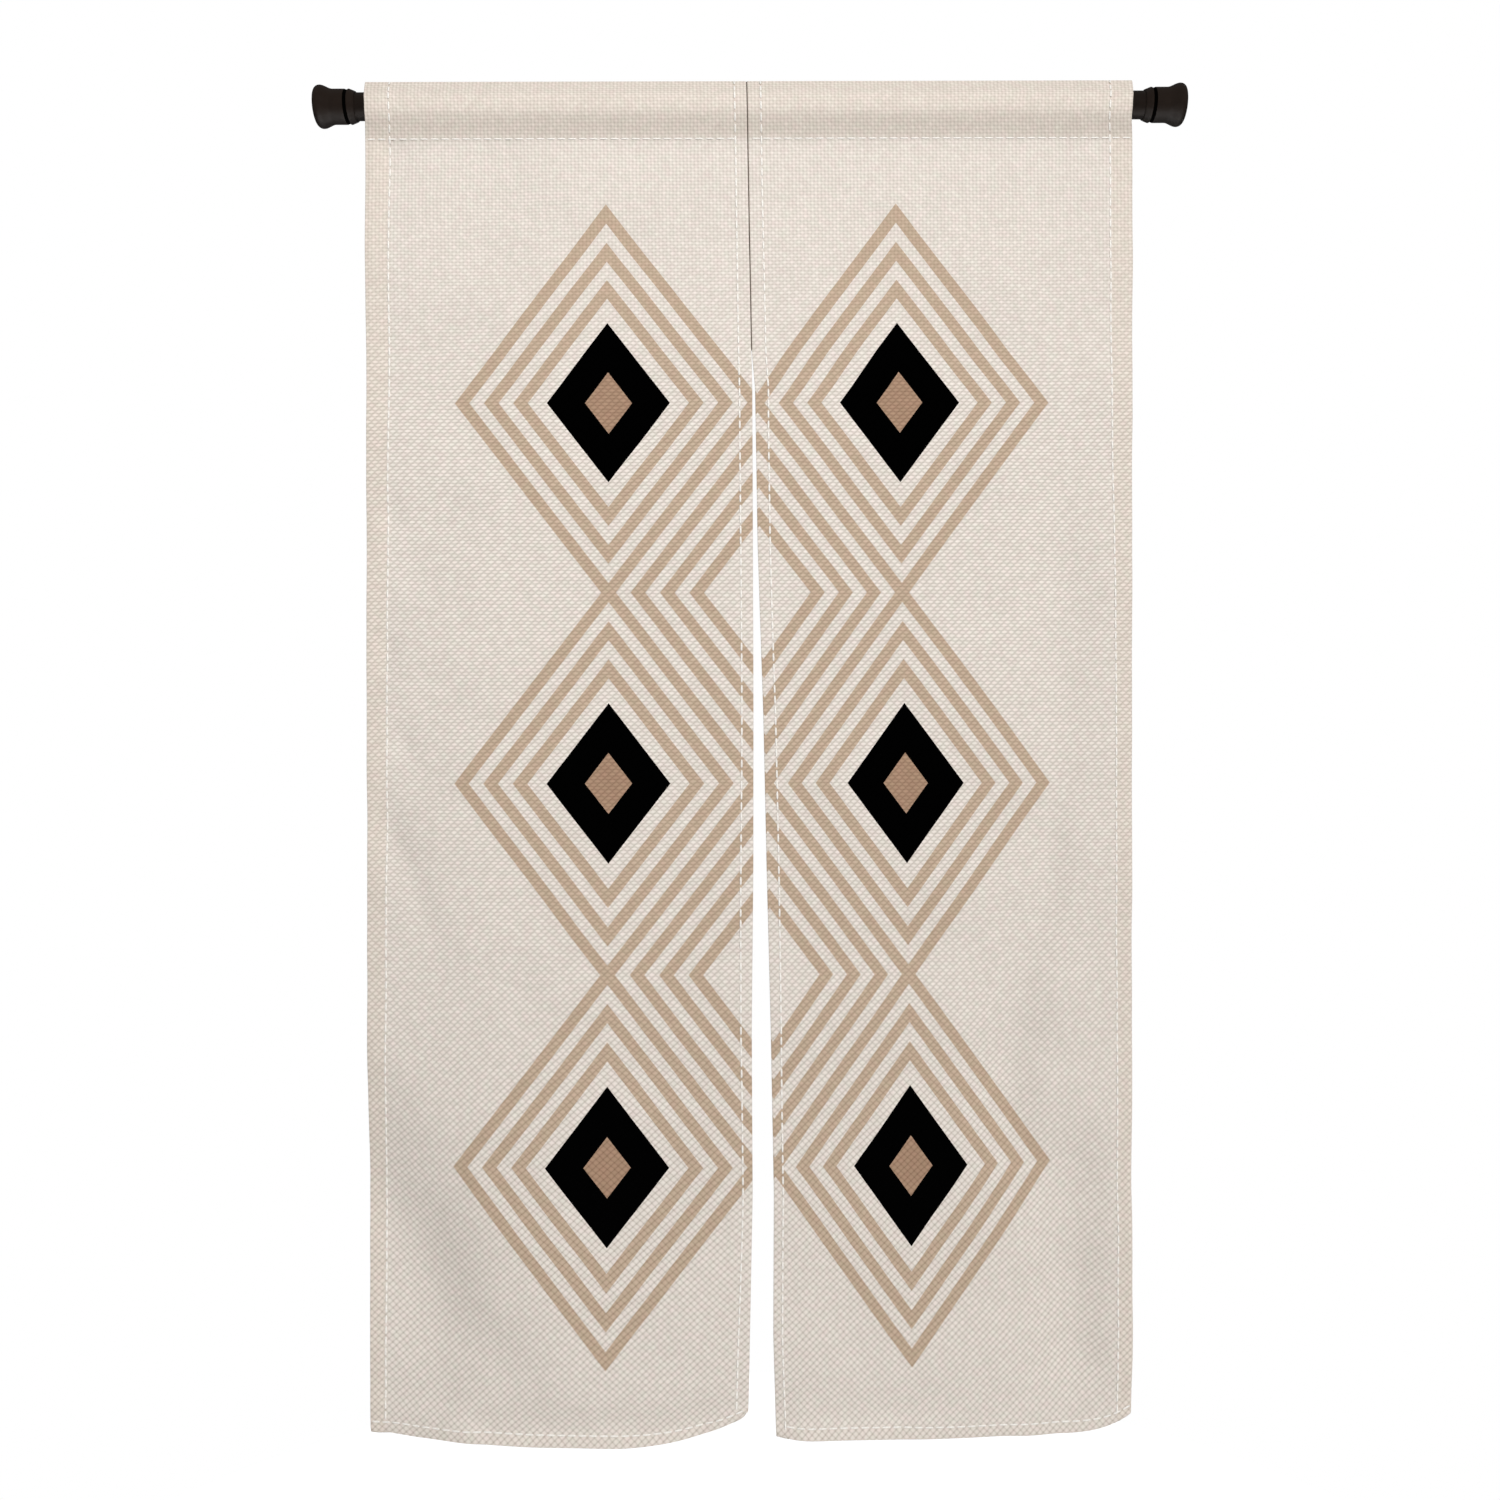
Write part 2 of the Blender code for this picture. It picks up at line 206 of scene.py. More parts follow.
# The stitches under the rod gather the cloth: slow waves vary the beat of the pitch
puckers = {"depth": 0.00030, "reach": 0.010, "top": 0.020, "waves": 5, "shortest": 0.03,
           "longest": 0.16, "even": 0.7, "varies": 0.5, "seedStep": 20}

# How far the cloth drops back below the stitches under the rod, and over what distance
pocketDips = {
    "drop": 0.0095, "fade": 0.080, "soft": 0.005,
    "left": {"across": [-0.440, -0.412, -0.402, -0.380, -0.366, -0.259, -0.238, -0.178, -0.150, -0.120,
                        0.0],
             "depth": [0.0010, 0.0022, 0.0050, 0.0050, 0.0034, 0.0030, 0.0016, 0.0016, 0.0018, 0.0026,
                       0.0028]},
    "right": {"across": [0.0, 0.060, 0.300, 0.440], "depth": [0.0028, 0.0024, 0.0020, 0.0020]},
}


def smoothStep(value):
    value = np.clip(value, 0.0, 1.0)
    return value * value * (3.0 - 2.0 * value)


def read(table, key, at, column, soft):
    # a column's value, averaged over the distance soft to both sides, with less weight further off
    offsets = np.linspace(-1.0, 1.0, 9)
    weights = 1.0 - np.abs(offsets) * 0.9
    values = [w * np.interp(at + soft * o, table[key], table[column]) for w, o in zip(weights, offsets)]
    return sum(values) / weights.sum()


def edgeAt(panel, side, drop):
    return read(hang, "drop", drop, panel + side, hang["edgeSoft"])


def panelWidth(panel, drop):
    return np.abs(edgeAt(panel, "Inner", drop) - edgeAt(panel, "Outer", drop))


def hemWidth(panel, side, drop):
    return read(hems, "drop", drop, panel + side, hems["soft"])


def troughAt(steep, easy, points, x, drop):
    nearest, profile = np.full(np.broadcast(x, drop).shape, math.inf), 0.0
    for (highX, highDrop, highDepth), (lowX, lowDrop, lowDepth) in zip(points, points[1:]):
        alongX, alongDrop = lowX - highX, lowDrop - highDrop
        share = ((x - highX) * alongX + (drop - highDrop) * alongDrop) / (alongX ** 2 + alongDrop ** 2)
        share = np.clip(share, 0.0, 1.0)
        awayX, awayDrop = x - highX - share * alongX, drop - highDrop - share * alongDrop
        away = np.hypot(awayX, awayDrop)
        side = (awayX * alongDrop - awayDrop * alongX) / math.hypot(alongX, alongDrop)
        width = easy + (steep - easy) * smoothStep(0.5 + side / creaseBlend)
        depth = highDepth + (lowDepth - highDepth) * share
        profile = np.where(away < nearest, depth * np.exp(-(away / width) ** 2), profile)
        nearest = np.minimum(nearest, away)
    return profile


def pastLine(line, x, drop):
    return (x - line["x"]) * line["towards"][0] + (drop - line["drop"]) * line["towards"][1]


def unevenAt(panel, x, drop):
    draw = np.random.default_rng(panels[panel]["seed"])
    shortest, longest = unevenness["shortest"], unevenness["longest"]
    total = 0.0
    for _ in range(unevenness["waves"]):
        length = draw.uniform(shortest, longest)
        turn, start = draw.uniform(0.0, math.tau, 2)
        wave = (x * math.cos(turn) + drop * math.sin(turn)) / length
        total = total + unevenness["depth"] * length / shortest * np.sin(math.tau * wave + start)
    return total


def curled(panel, x, drop, measure):
    # what the panel's curls add up to at a point: how far back, or how far up
    total = 0.0 * x * drop
    for curl in curls[panel]:
        total = total + curl[measure] * (np.maximum(pastLine(curl, x, drop), 0.0) / curl["reach"]) ** 2
    return total


def pocketDip(panel, x, below):
    # the cloth drops back just below the stitches under the rod, the front and the flap's end alike
    depth = read(pocketDips[panel], "across", x, "depth", pocketDips["soft"])
    below = np.maximum(below, 0.0)
    return depth * (1.0 - np.exp(-below / pocketDips["drop"])) * np.exp(-below / pocketDips["fade"])


def sheetFace(panel, across, drop):
    # y of the hanging sheet's face
    outer, inner = edgeAt(panel, "Outer", drop), edgeAt(panel, "Inner", drop)
    x = outer + (inner - outer) * across
    forward = read(hang, "drop", drop, panel + "Forward", hang["forwardSoft"])
    y = cloth["frontFace"] - forward * read(arch, "across", across, panel, arch["soft"])
    y = y + curled(panel, x, drop, "back") + pocketDip(panel, x, drop - cloth["stitchDrop"])
    step = steps[panel]
    grown = smoothStep((drop - step["starts"]) / (step["full"] - step["starts"]))
    y = y + step["back"] * grown * smoothStep(pastLine(step, x, drop) / step["width"] + 0.5)
    y = y + np.sum([troughAt(*crease, x, drop) for crease in creases[panel]], axis=0)
    fadeIn = smoothStep((drop - cloth["stitchDrop"]) / unevenness["fadeIn"])
    return y + unevenAt(panel, x, drop) * fadeIn


def pocketPath():
    # (y, z) of the cloth's face from the front stitches, over the crest, to the flap's end
    wrap, crest, tail = pocket["wrapRadius"], pocket["crestRadius"], pocket["tail"]
    half, drop, atStitches = -cloth["frontFace"], cloth["stitchDrop"], pocket["leanAtStitches"]
    up = np.linspace(0.0, 1.0, pocket["sideSteps"])
    lean = 1.0 - smoothStep((up - pocket["bendFrom"]) / (pocket["bendTo"] - pocket["bendFrom"]))
    lean = lean * (atStitches + (1 - atStitches) * smoothStep(up / pocket["leanFull"]))
    grown = (np.cumsum(lean) - lean[0]) / (np.sum(lean) - lean[0])
    side = [(-half - (wrap - half) * out, -drop * (1 - rise)) for out, rise in zip(grown, up)]
    meetsRod = math.pi / 2 - math.asin((wrap - crest) / (pocket["crestHeight"] - crest))
    arc = [(-wrap * math.sin(turn), wrap * math.cos(turn))
           for turn in np.linspace(math.pi / 2, meetsRod, pocket["arcSteps"])[1:]]
    top = [(crest * math.sin(turn), pocket["crestHeight"] - crest * (1 - math.cos(turn)))
           for turn in np.linspace(-meetsRod, meetsRod, pocket["crestSteps"])]
    back = [(-y, z) for y, z in reversed(side + arc)]
    corners = side + arc + top + back + [(half, -drop - tail)]
    points = [corners[0]]
    for (startY, startZ), (endY, endZ) in zip(corners, corners[1:]):
        pieces = max(1, round(math.hypot(endY - startY, endZ - startZ) / pocket["straightStep"]))
        for share in np.linspace(0.0, 1.0, pieces + 1)[1:]:
            points.append((startY + (endY - startY) * share, startZ + (endZ - startZ) * share))
    return np.array(points)


pathPoints = pocketPath()
pathLengths = np.concatenate([[0.0], np.cumsum(np.hypot(*np.diff(pathPoints, axis=0).T))])
flapStitch = pathLengths[-1] - pocket["tail"]


def pathAt(distance):
    # (y, z) of the pocket's path at that distance from the stitches
    return np.array([np.interp(distance, pathLengths, column) for column in pathPoints.T])


def clothFace(panel, across, along):
    # Points on the cloth's face and the directions into the cloth. across has a row for each
    # distance in along, which rises from the flap's end (negative) to the bottom edge.
    shape = across.shape
    points, inward = np.zeros(shape + (3,)), np.zeros(shape + (3,))
    over = along < 0.0
    if over.any():
        up = -along[over]
        y, z = pathAt(up)
        slopeY, slopeZ = pathAt(up + pocket["slopeReach"]) - pathAt(up - pocket["slopeReach"])
        size = np.hypot(slopeY, slopeZ)
        outer, inner = edgeAt(panel, "Outer", -z), edgeAt(panel, "Inner", -z)
        points[over, :, 0] = outer[:, None] + (inner - outer)[:, None] * across[over]
        points[over, :, 1] = y[:, None]
        points[over, :, 2] = z[:, None]
        inward[over, :, 1] = (slopeZ / size)[:, None]
        inward[over, :, 2] = (-slopeY / size)[:, None]
    down = ~over
    if down.any():
        drop = (cloth["stitchDrop"] + along[down])[:, None] + 0.0 * across[down]
        share, reach = across[down], cloth["slopeReach"]
        y = sheetFace(panel, share, drop)
        gaps = np.diff(along[down], prepend=0.0)[:, None]
        lean = np.diff(y, axis=0, prepend=np.full((1, shape[1]), cloth["frontFace"]))
        fall = np.sqrt(np.maximum(gaps ** 2 - lean ** 2, 0.0))
        outer, inner = edgeAt(panel, "Outer", drop), edgeAt(panel, "Inner", drop)
        slopeX = sheetFace(panel, share + reach, drop) - sheetFace(panel, share - reach, drop)
        slopeX = slopeX / (2 * reach * (inner - outer))
        slopeDown = sheetFace(panel, share, drop + reach) - sheetFace(panel, share, drop - reach)
        slopeDown = slopeDown / (2 * reach)
        size = np.sqrt(1 + slopeX ** 2 + slopeDown ** 2)
        x = outer + (inner - outer) * share
        points[down, :, 0] = x
        points[down, :, 1] = y
        points[down, :, 2] = curled(panel, x, drop, "rise") - cloth["stitchDrop"] - np.cumsum(fall, axis=0)
        inward[down] = np.stack([-slopeX / size, 1 / size, slopeDown / size], axis=-1)
    return points, inward


def panelRows(length):
    # For each mesh row from the bottom hem's inner edge down, round the edge and up the front,
    # over the rod and down the flap: distance along the cloth's line, fold state, flat length
    radius = cloth["foldDepth"] / 2
    edge = length - radius
    rows = []
    for up in np.linspace(cloth["bottomHem"] + cloth["bottomPast"], radius, cloth["stripSteps"] + 1):
        rows.append((length - up, 1.0, edge + radius * math.pi + up - radius))
    for turn in np.linspace(0.0, math.pi, cloth["turnSteps"] + 2)[1:-1]:
        rows.append((length - radius * (1 - math.sin(turn)), (1 + math.cos(turn)) / 2,
                     edge + radius * (math.pi - turn)))
    for at in np.linspace(edge, 0.0, round(edge / cloth["rowStep"]) + 1):
        rows.append((at, 0.0, at))
    for at in pathLengths[1:]:
        rows.append((-at, 0.0, -at))
    return np.array(rows).T


def panelColumns():
    # For each mesh column from one hem's inner edge to the other's: (side, kind, number)
    strip = [("strip", share) for share in np.linspace(1.0, 0.0, cloth["stripSteps"] + 1)]
    turn = [("turn", angle) for angle in np.linspace(0.0, math.pi, cloth["turnSteps"] + 2)[1:-1]]
    hem = [("hem", share) for share in cloth["hemShares"]] + [("beside", cloth["besideHem"])]
    outer = [("Outer",) + part for part in strip + turn + hem]
    inner = [("Inner",) + part for part in reversed(strip + turn + hem)]
    field = [("Outer", "field", share) for share in np.linspace(0.0, 1.0, fieldColumns + 1)[1:-1]]
    return outer + field + inner


def columnPlaces(panel, drops):
    # Share across the panel, fold state and flat distance from the outer edge, for every row
    radius = cloth["foldDepth"] / 2
    width, flatWidth = panelWidth(panel, drops), panelWidth(panel, cloth["stitchDrop"])
    hem = {side: hemWidth(panel, side, drops) for side in ("Outer", "Inner")}
    columns = panelColumns()
    across = np.zeros((len(drops), len(columns)))
    fold, flat = across.copy(), across.copy()
    for index, (side, kind, number) in enumerate(columns):
        if kind == "field":
            start, end = hem["Outer"] + cloth["besideHem"], width - hem["Inner"] - cloth["besideHem"]
            inside = start + (end - start) * number
        elif kind == "beside":
            inside = hem[side] + number
        elif kind == "hem":
            inside = radius + (hem[side] - radius) * number
        elif kind == "turn":
            inside = radius * (1 - math.sin(number)) + 0.0 * drops
            fold[:, index] = (1 + math.cos(number)) / 2
        else:
            inside = radius + (hem[side] + cloth["sidePast"] - radius) * number
            fold[:, index] = 1.0
        fromEdge = inside
        if kind == "turn":
            fromEdge = radius - radius * (math.pi - number) + 0.0 * drops
        elif kind == "strip":
            fromEdge = radius - (radius * (math.pi - 1) + inside)
        onOuter = side == "Outer"
        across[:, index] = inside / width if onOuter else 1 - inside / width
        flat[:, index] = fromEdge * flatWidth / width
        if not onOuter:
            flat[:, index] = flatWidth - flat[:, index]
    return across, fold, flat


def roundedCorner(inside, up, radius):
    # moves the points near a square corner onto a round one: how far inwards and upwards
    spanX, spanZ = np.maximum(radius - inside, 0.0), np.maximum(radius - up, 0.0)
    longest, length = np.maximum(spanX, spanZ), np.hypot(spanX, spanZ)
    scale = np.where((spanX > 0) & (spanZ > 0), longest / np.maximum(length, 1e-9), 1.0)
    return spanX * (1 - scale), spanZ * (1 - scale)


def stitchGroove(inside, hem, along):
    # how far the thread draws the cloth in beside a line of stitches
    varies = stitching["grooveVaries"]
    beat = 1 - varies + varies * np.cos(math.tau * along / stitching["pitch"])
    return stitching["groove"] * beat * np.exp(-((inside - hem) / stitching["grooveReach"]) ** 2)


def pocketPuckers(panel, x, along):
    draw = np.random.default_rng(panels[panel]["seed"] + puckers["seedStep"])
    slow = 0.0
    for _ in range(puckers["waves"]):
        length, start = draw.uniform(puckers["shortest"], puckers["longest"]), draw.uniform(0, 1)
        slow = slow + np.sin(math.tau * (x / length + start))
    slow = slow / (puckers["waves"] / 2)
    near = np.exp(-(along / puckers["reach"]) ** 2) * (along > -puckers["top"])
    beat = np.cos(math.tau * x / stitching["pitch"]) * (puckers["even"] + puckers["varies"] * slow)
    return puckers["depth"] * beat * near


def makePanel(panel, finishes):
    facts = panels[panel]
    length = facts["length"]
    along, rowFold, rowFlat = panelRows(length)
    order, back = np.unique(along, return_inverse=True)
    across, fold, flat = columnPlaces(panel, cloth["stitchDrop"] + np.clip(along, -cloth["placesUp"], None))
    firstOfRow = [int(np.argmax(back == index)) for index in range(len(order))]
    points, inward = clothFace(panel, across[firstOfRow], order)
    points, inward = points[back], inward[back]
    # from here on, a row's own measures stand in a column
    along, rowFold, rowFlat = along[:, None], rowFold[:, None], rowFlat[:, None]
    drops = cloth["stitchDrop"] + along
    width = panelWidth(panel, drops)
    fromOuter, fromInner = across * width, (1 - across) * width
    up = length - along + 0.0 * across
    outerHem, innerHem = hemWidth(panel, "Outer", drops), hemWidth(panel, "Inner", drops)
    # rounded bottom corners
    for fromEdge, direction, radius in ((fromOuter, -facts["side"], cloth["outerCorner"]),
                                        (fromInner, facts["side"], facts["corner"])):
        moveX, moveZ = roundedCorner(fromEdge, up, radius)
        points[..., 0] += direction * moveX
        points[..., 2] += moveZ
    # folded layers, one behind the other
    inSideHem = np.maximum(*(1 - smoothStep((inside - hem - cloth["sidePast"]) / cloth["stackFade"])
                             for inside, hem in ((fromOuter, outerHem), (fromInner, innerHem))))
    stack = cloth["foldDepth"] + (cloth["stackDepth"] - cloth["foldDepth"]) * inSideHem
    behind = fold * cloth["foldDepth"] + rowFold * (stack - 2 * cloth["foldDepth"] * fold)
    # grooves and puckers beside the stitches
    front = (1 - fold) * (1 - rowFold)
    for inside, hem, run in ((fromOuter, outerHem, along), (fromInner, innerHem, along),
                             (up, cloth["bottomHem"], points[..., 0])):
        behind = behind + front * stitchGroove(inside, hem, run)
    behind = behind + pocketPuckers(panel, points[..., 0], along)
    # the seam draws the inner edges in
    fade = stitching["seamFade"]
    seam = np.exp(-(fromInner / stitching["seamReach"]) ** 2)
    seam = seam * smoothStep((cloth["seamEnd"] + fade / 2 - along) / fade)
    points[..., 0] += facts["side"] * stitching["seamGap"] / 2 * seam
    points = points + inward * behind[..., None]
    # the flap lies against the front at the stitches
    flap = smoothStep((-along - flapStitch + pocket["flapNears"]) / pocket["flapNears"])
    points[..., 1] += flap * (cloth["frontFace"] * 2 + stack)
    points[..., 1] += pocketDip(panel, points[..., 0], -along - flapStitch)
    mesh = gridMesh(points, panel == "left")
    rise = curled(panel, points[..., 0], drops, "rise")
    uvs = np.stack([facts["side"] * (abs(edgeAt(panel, "Outer", cloth["stitchDrop"])) - flat),
                    rise - cloth["stitchDrop"] - rowFlat], axis=-1)
    # painted shade: the outer side hems fully, and the bottom hem and the header over the rod in part, are
    # darker, as if less light came through them from behind
    painted_shade = np.maximum(1.0 * (fromOuter < outerHem), clothLook["bottomShade"] * (up < cloth["bottomHem"]))
    painted_shade = np.maximum(painted_shade, clothLook["headerShade"] * (along < -clothLook["headerFrom"]))
    made = clothObject(panel + "_panel", mesh, uvs, painted_shade, finishes)
    print("panel", panel, "mesh", points.shape[:2])
    return made, (float(np.ptp(flat)), float(np.ptp(rowFlat)))


def gridMesh(points, columnsRunRight):
    # a grid whose points are then put in place; its faces look away from the cloth's inside
    rows, columns = points.shape[:2]
    shape = bmesh.new()
    bmesh.ops.create_grid(shape, x_segments=columns - 1, y_segments=rows - 1, size=0.5)
    order = shape.verts.layers.int.new("order")
    for vert in shape.verts:
        column = round((vert.co.x + 0.5) * (columns - 1))
        row = round((vert.co.y + 0.5) * (rows - 1))
        vert.co = points[row, column]
        vert[order] = row * columns + column
    if not columnsRunRight:
        bmesh.ops.reverse_faces(shape, faces=shape.faces)
    return shape


def meshOf(name, shape, *finishes):
    # a mesh from a bmesh, which it uses up
    mesh = bpy.data.meshes.new(name)
    shape.to_mesh(mesh)
    shape.free()
    for finish in finishes:
        mesh.materials.append(finish)
    return mesh


def linked(name, data):
    # a new object in the scene, at the origin
    made = bpy.data.objects.new(name, data)
    bpy.context.scene.collection.objects.link(made)
    return made


def pieceOf(name, shape, *finishes):
    return linked(name, meshOf(name, shape, *finishes))


def clothObject(name, shape, uvs, painted_shade, finishes):
    order = shape.verts.layers.int["order"]
    uvLayer = shape.loops.layers.uv.new("flat")
    # a vertex value for the painted shade
    paintedShadeLayer = shape.verts.layers.float.new("painted_shade")
    uvs, painted_shade = uvs.reshape(-1, 2), painted_shade.reshape(-1)
    for vert in shape.verts:
        vert[paintedShadeLayer] = painted_shade[vert[order]]
    for face in shape.faces:
        face.smooth = True
        for loop in face.loops:
            loop[uvLayer].uv = uvs[loop.vert[order]]
    made = pieceOf(name, shape, *finishes)
    body = made.modifiers.new("thickness", "SOLIDIFY")
    body.thickness = cloth["thickness"]
    body.offset = -1.0
    body.material_offset = 1     # the back has its own finish
    return made


def makeGrain():
    # one stitch of unit size, its ends along X
    shape = bmesh.new()
    shape.loops.layers.uv.new("flat")
    bmesh.ops.create_uvsphere(shape, u_segments=stitching["sides"], v_segments=stitching["rings"],
                              radius=1.0, matrix=Matrix.Rotation(math.pi / 2, 4, "Y"), calc_uvs=True)
    for vert in shape.verts:
        vert.co.x = math.copysign(abs(vert.co.x) ** stitching["bluntness"], vert.co.x)
    for face in shape.faces:
        face.smooth = True
    return meshOf("grain", shape)


grain = makeGrain()


def addStitch(shape, start, end, outward, width):
    # one stitch: a grain of thread lying on the cloth
    along = (end - start).normalized()
    side = outward.cross(along).normalized()
    up = along.cross(side)
    middle = (start + end) / 2 + up * stitching["proud"]
    turned = Matrix((along, side, up)).transposed().to_4x4()
    size = Matrix.Diagonal(((end - start).length / 2, width / 2, stitching["height"] / 2, 1.0))
    copied = grain.copy()
    copied.transform(Matrix.Translation(middle) @ turned @ size)
    shape.from_mesh(copied)
    bpy.data.meshes.remove(copied)


def stitchLine(shape, points, inward, depth, width):
    # even stitches along a line, on the face and on the back; none round a tight fold
    parts = stitching["parts"]
    step = stitching["pitch"] / parts
    lengths = np.concatenate([[0.0], np.cumsum(np.linalg.norm(np.diff(points, axis=0), axis=1))])
    at = np.arange(step / 2, lengths[-1], step)
    table = np.column_stack([points, inward, depth])
    even = np.stack([np.interp(at, lengths, column) for column in table.T], axis=-1)
    for first in range(0, len(even) - parts, parts):
        start, middle, end = (Vector(even[first + part, :3]) for part in (0, parts // 2, parts - 1))
        if (end - start).length < stitching["straightness"] * step * (parts - 1):
            continue
        into = Vector(even[first + parts // 2, 3:6]).normalized()
        lift = (middle - (start + end) / 2).dot(into) * into
        addStitch(shape, start + lift, end + lift, -into, width)
        behind = into * float(even[first + parts // 2, 6]) + lift
        addStitch(shape, start + behind, end + behind, into, width)


def sideStitches(shape, panel, side):
    length, gap = panels[panel]["length"], stitching["endGap"]
    along = np.arange(gap - flapStitch, length - gap, stitching["fineStep"])
    drops = cloth["stitchDrop"] + np.clip(along, -cloth["placesUp"], None)
    share = hemWidth(panel, side, drops) / panelWidth(panel, drops)
    across = share if side == "Outer" else 1 - share
    points, inward = clothFace(panel, across[:, None], along)
    crossed = length - along < cloth["bottomHem"] + cloth["sidePast"]
    depth = np.where(crossed, cloth["stackDepth"], cloth["foldDepth"])
    stitchLine(shape, points[:, 0], inward[:, 0], depth, stitching["width"])


def crossStitches(shape, panel, up):
    # a line of stitches from side to side, up from the bottom edge
    length, ends, past = panels[panel]["length"], stitching["crossEnds"], cloth["sidePast"]
    drop = cloth["stitchDrop"] + length - up
    across = np.linspace(ends, 1 - ends, stitching["crossPoints"])
    along = np.linspace(0.0, length - up, stitching["crossRows"]) if up < length else np.array([0.0])
    points, inward = clothFace(panel, np.tile(across, (len(along), 1)), along)
    span = panelWidth(panel, drop)
    crossed = across * span < hemWidth(panel, "Outer", drop) + past
    crossed = crossed | ((1 - across) * span < hemWidth(panel, "Inner", drop) + past)
    depth = np.where(crossed, cloth["stackDepth"], cloth["foldDepth"])
    width = stitching["width"] if up < length else stitching["pocketWidth"]
    stitchLine(shape, points[-1], inward[-1], depth, width)


def makeStitching(panel, finish):
    shape = bmesh.new()
    for side in ("Outer", "Inner"):
        sideStitches(shape, panel, side)
    crossStitches(shape, panel, cloth["bottomHem"])
    crossStitches(shape, panel, panels[panel]["length"])
    return pieceOf(panel + "_stitching", shape, finish)


def makeSeam(finish):
    # close stitches between the two panels' meeting edges, from the top fold down to the slit. Their dark
    # brown thread is a painted shadow in the gap between the edges.
    shape = bmesh.new()
    for along in (np.arange(0.0, cloth["seamEnd"], stitching["seamPitch"]),
                  -np.arange(0.0, flapStitch / 2, stitching["seamPitch"])):
        order = np.sort(along)
        fine = np.linspace(order[0], order[-1], stitching["seamPoints"])
        leftPoints, inward = clothFace("left", np.full((len(fine), 1), 1.0), fine)
        rightPoints, _ = clothFace("right", np.full((len(fine), 1), 1.0), fine)
        places = [(leftPoints[row, 0] + rightPoints[row, 0]) / 2 + inward[row, 0] * stitching["seamDepth"]
                  for row in (int(np.argmin(np.abs(fine - at))) for at in order)]
        for row, place in enumerate(places):
            here = Vector(place)
            before = Vector(places[max(row - 1, 0)])
            after = Vector(places[min(row + 1, len(places) - 1)])
            half = (after - before).normalized() * stitching["seamLength"] / 2
            addStitch(shape, here - half, here + half, Vector((0.0, -1.0, 0.0)), stitching["width"])
    return pieceOf("seam_stitching", shape, finish)


rod = {"radius": 0.0145, "wall": 0.0010, "half": 0.4660, "sides": 96,
       "samePoint": 0.00001, "sharpAngle": 40.0}

cap = {                          # distances run from the middle of the rod outwards
    "mouth": 0.4350, "mouthRadius": 0.0157, "bore": 0.0148, "boreEnd": 0.4663,
    "shoulder": 0.4416, "waistRadius": 0.0182, "cornerRadius": 0.0007,
    "groove": 0.4445, "grooveWidth": 0.0042, "grooveDepth": 0.0008,
    "grooveFloor": 0.45,         # share of the groove's width
    "flare": 0.4600, "rim": 0.4737, "rimRadius": 0.0223, "flareSteps": 12,
    "flatRadius": 0.0178, "end": 0.4794, "roundSteps": 10,
}


def turnedObject(name, profile, closed, finish):
    # spins an outline of (x, radius) points about the rod's axis
    shape = bmesh.new()
    points = [shape.verts.new((x, 0.0, radius)) for x, radius in profile]
    following = points[1:] + points[:1] if closed else points[1:]
    edges = [shape.edges.new(pair) for pair in zip(points, following)]
    bmesh.ops.spin(shape, geom=points + edges, cent=(0, 0, 0), axis=(1, 0, 0), angle=math.tau,
                   steps=rod["sides"], use_merge=True)
    bmesh.ops.remove_doubles(shape, verts=shape.verts, dist=rod["samePoint"])
    bmesh.ops.recalc_face_normals(shape, faces=shape.faces)
    made = pieceOf(name, shape, finish)
    made.data.shade_smooth()
    made.data.set_sharp_from_angle(angle=math.radians(rod["sharpAngle"]))
    return made


def roundOff(profile, radius, parts=3):
    # cuts each inner corner of an open outline with a small arc, which leaves some of each straight
    soft, leave = [profile[0]], 2.2
    for before, corner, after in zip(profile, profile[1:], profile[2:]):
        corner, before, after = (np.array(point) for point in (corner, before, after))
        first, second = before - corner, after - corner
        firstLength, secondLength = np.linalg.norm(first), np.linalg.norm(second)
        reach = min(radius, firstLength / leave, secondLength / leave)
        start, end = corner + first / firstLength * reach, corner + second / secondLength * reach
        for share in np.linspace(0.0, 1.0, parts + 1):
            point = (1 - share) ** 2 * start + 2 * share * (1 - share) * corner + share ** 2 * end
            soft.append(tuple(point))
    soft.append(profile[-1])
    return soft


def capProfile():
    groove, half = cap["groove"], cap["grooveWidth"] / 2
    floor, floorHalf = cap["waistRadius"] - cap["grooveDepth"], half * cap["grooveFloor"]
    outside = [(cap["mouth"], cap["bore"]), (cap["mouth"], cap["mouthRadius"]),
               (cap["shoulder"], cap["waistRadius"]),
               (groove - half, cap["waistRadius"]), (groove - floorHalf, floor),
               (groove + floorHalf, floor), (groove + half, cap["waistRadius"]),
               (cap["flare"], cap["waistRadius"])]
    profile = [(cap["boreEnd"], 0.0), (cap["boreEnd"], cap["bore"])] + roundOff(outside, cap["cornerRadius"])
    length, rise = cap["rim"] - cap["flare"], cap["rimRadius"] - cap["waistRadius"]
    for share in np.linspace(0.0, 1.0, cap["flareSteps"] + 1)[1:]:
        profile.append((cap["flare"] + length * share, cap["waistRadius"] + rise * float(smoothStep(share))))
    length, fall = cap["end"] - cap["rim"], cap["rimRadius"] - cap["flatRadius"]
    for turn in np.linspace(0.0, math.pi / 2, cap["roundSteps"] + 1)[1:]:
        profile.append((cap["rim"] + length * math.sin(turn), cap["flatRadius"] + fall * math.cos(turn)))
    profile.append((cap["end"], 0.0))
    return profile


def paintGrooveShade(piece, finish):
    # painted shade: a near-black finish on the floor and the walls of the cap's ring groove, and not the
    # bore inside it
    piece.data.materials.append(finish)
    inside = (cap["bore"] + cap["waistRadius"] - cap["grooveDepth"]) / 2
    for face in piece.data.polygons:
        far = abs(abs(face.center.x) - cap["groove"])
        if far < cap["grooveWidth"] / 2 and math.hypot(face.center.y, face.center.z) > inside:
            face.material_index = 1


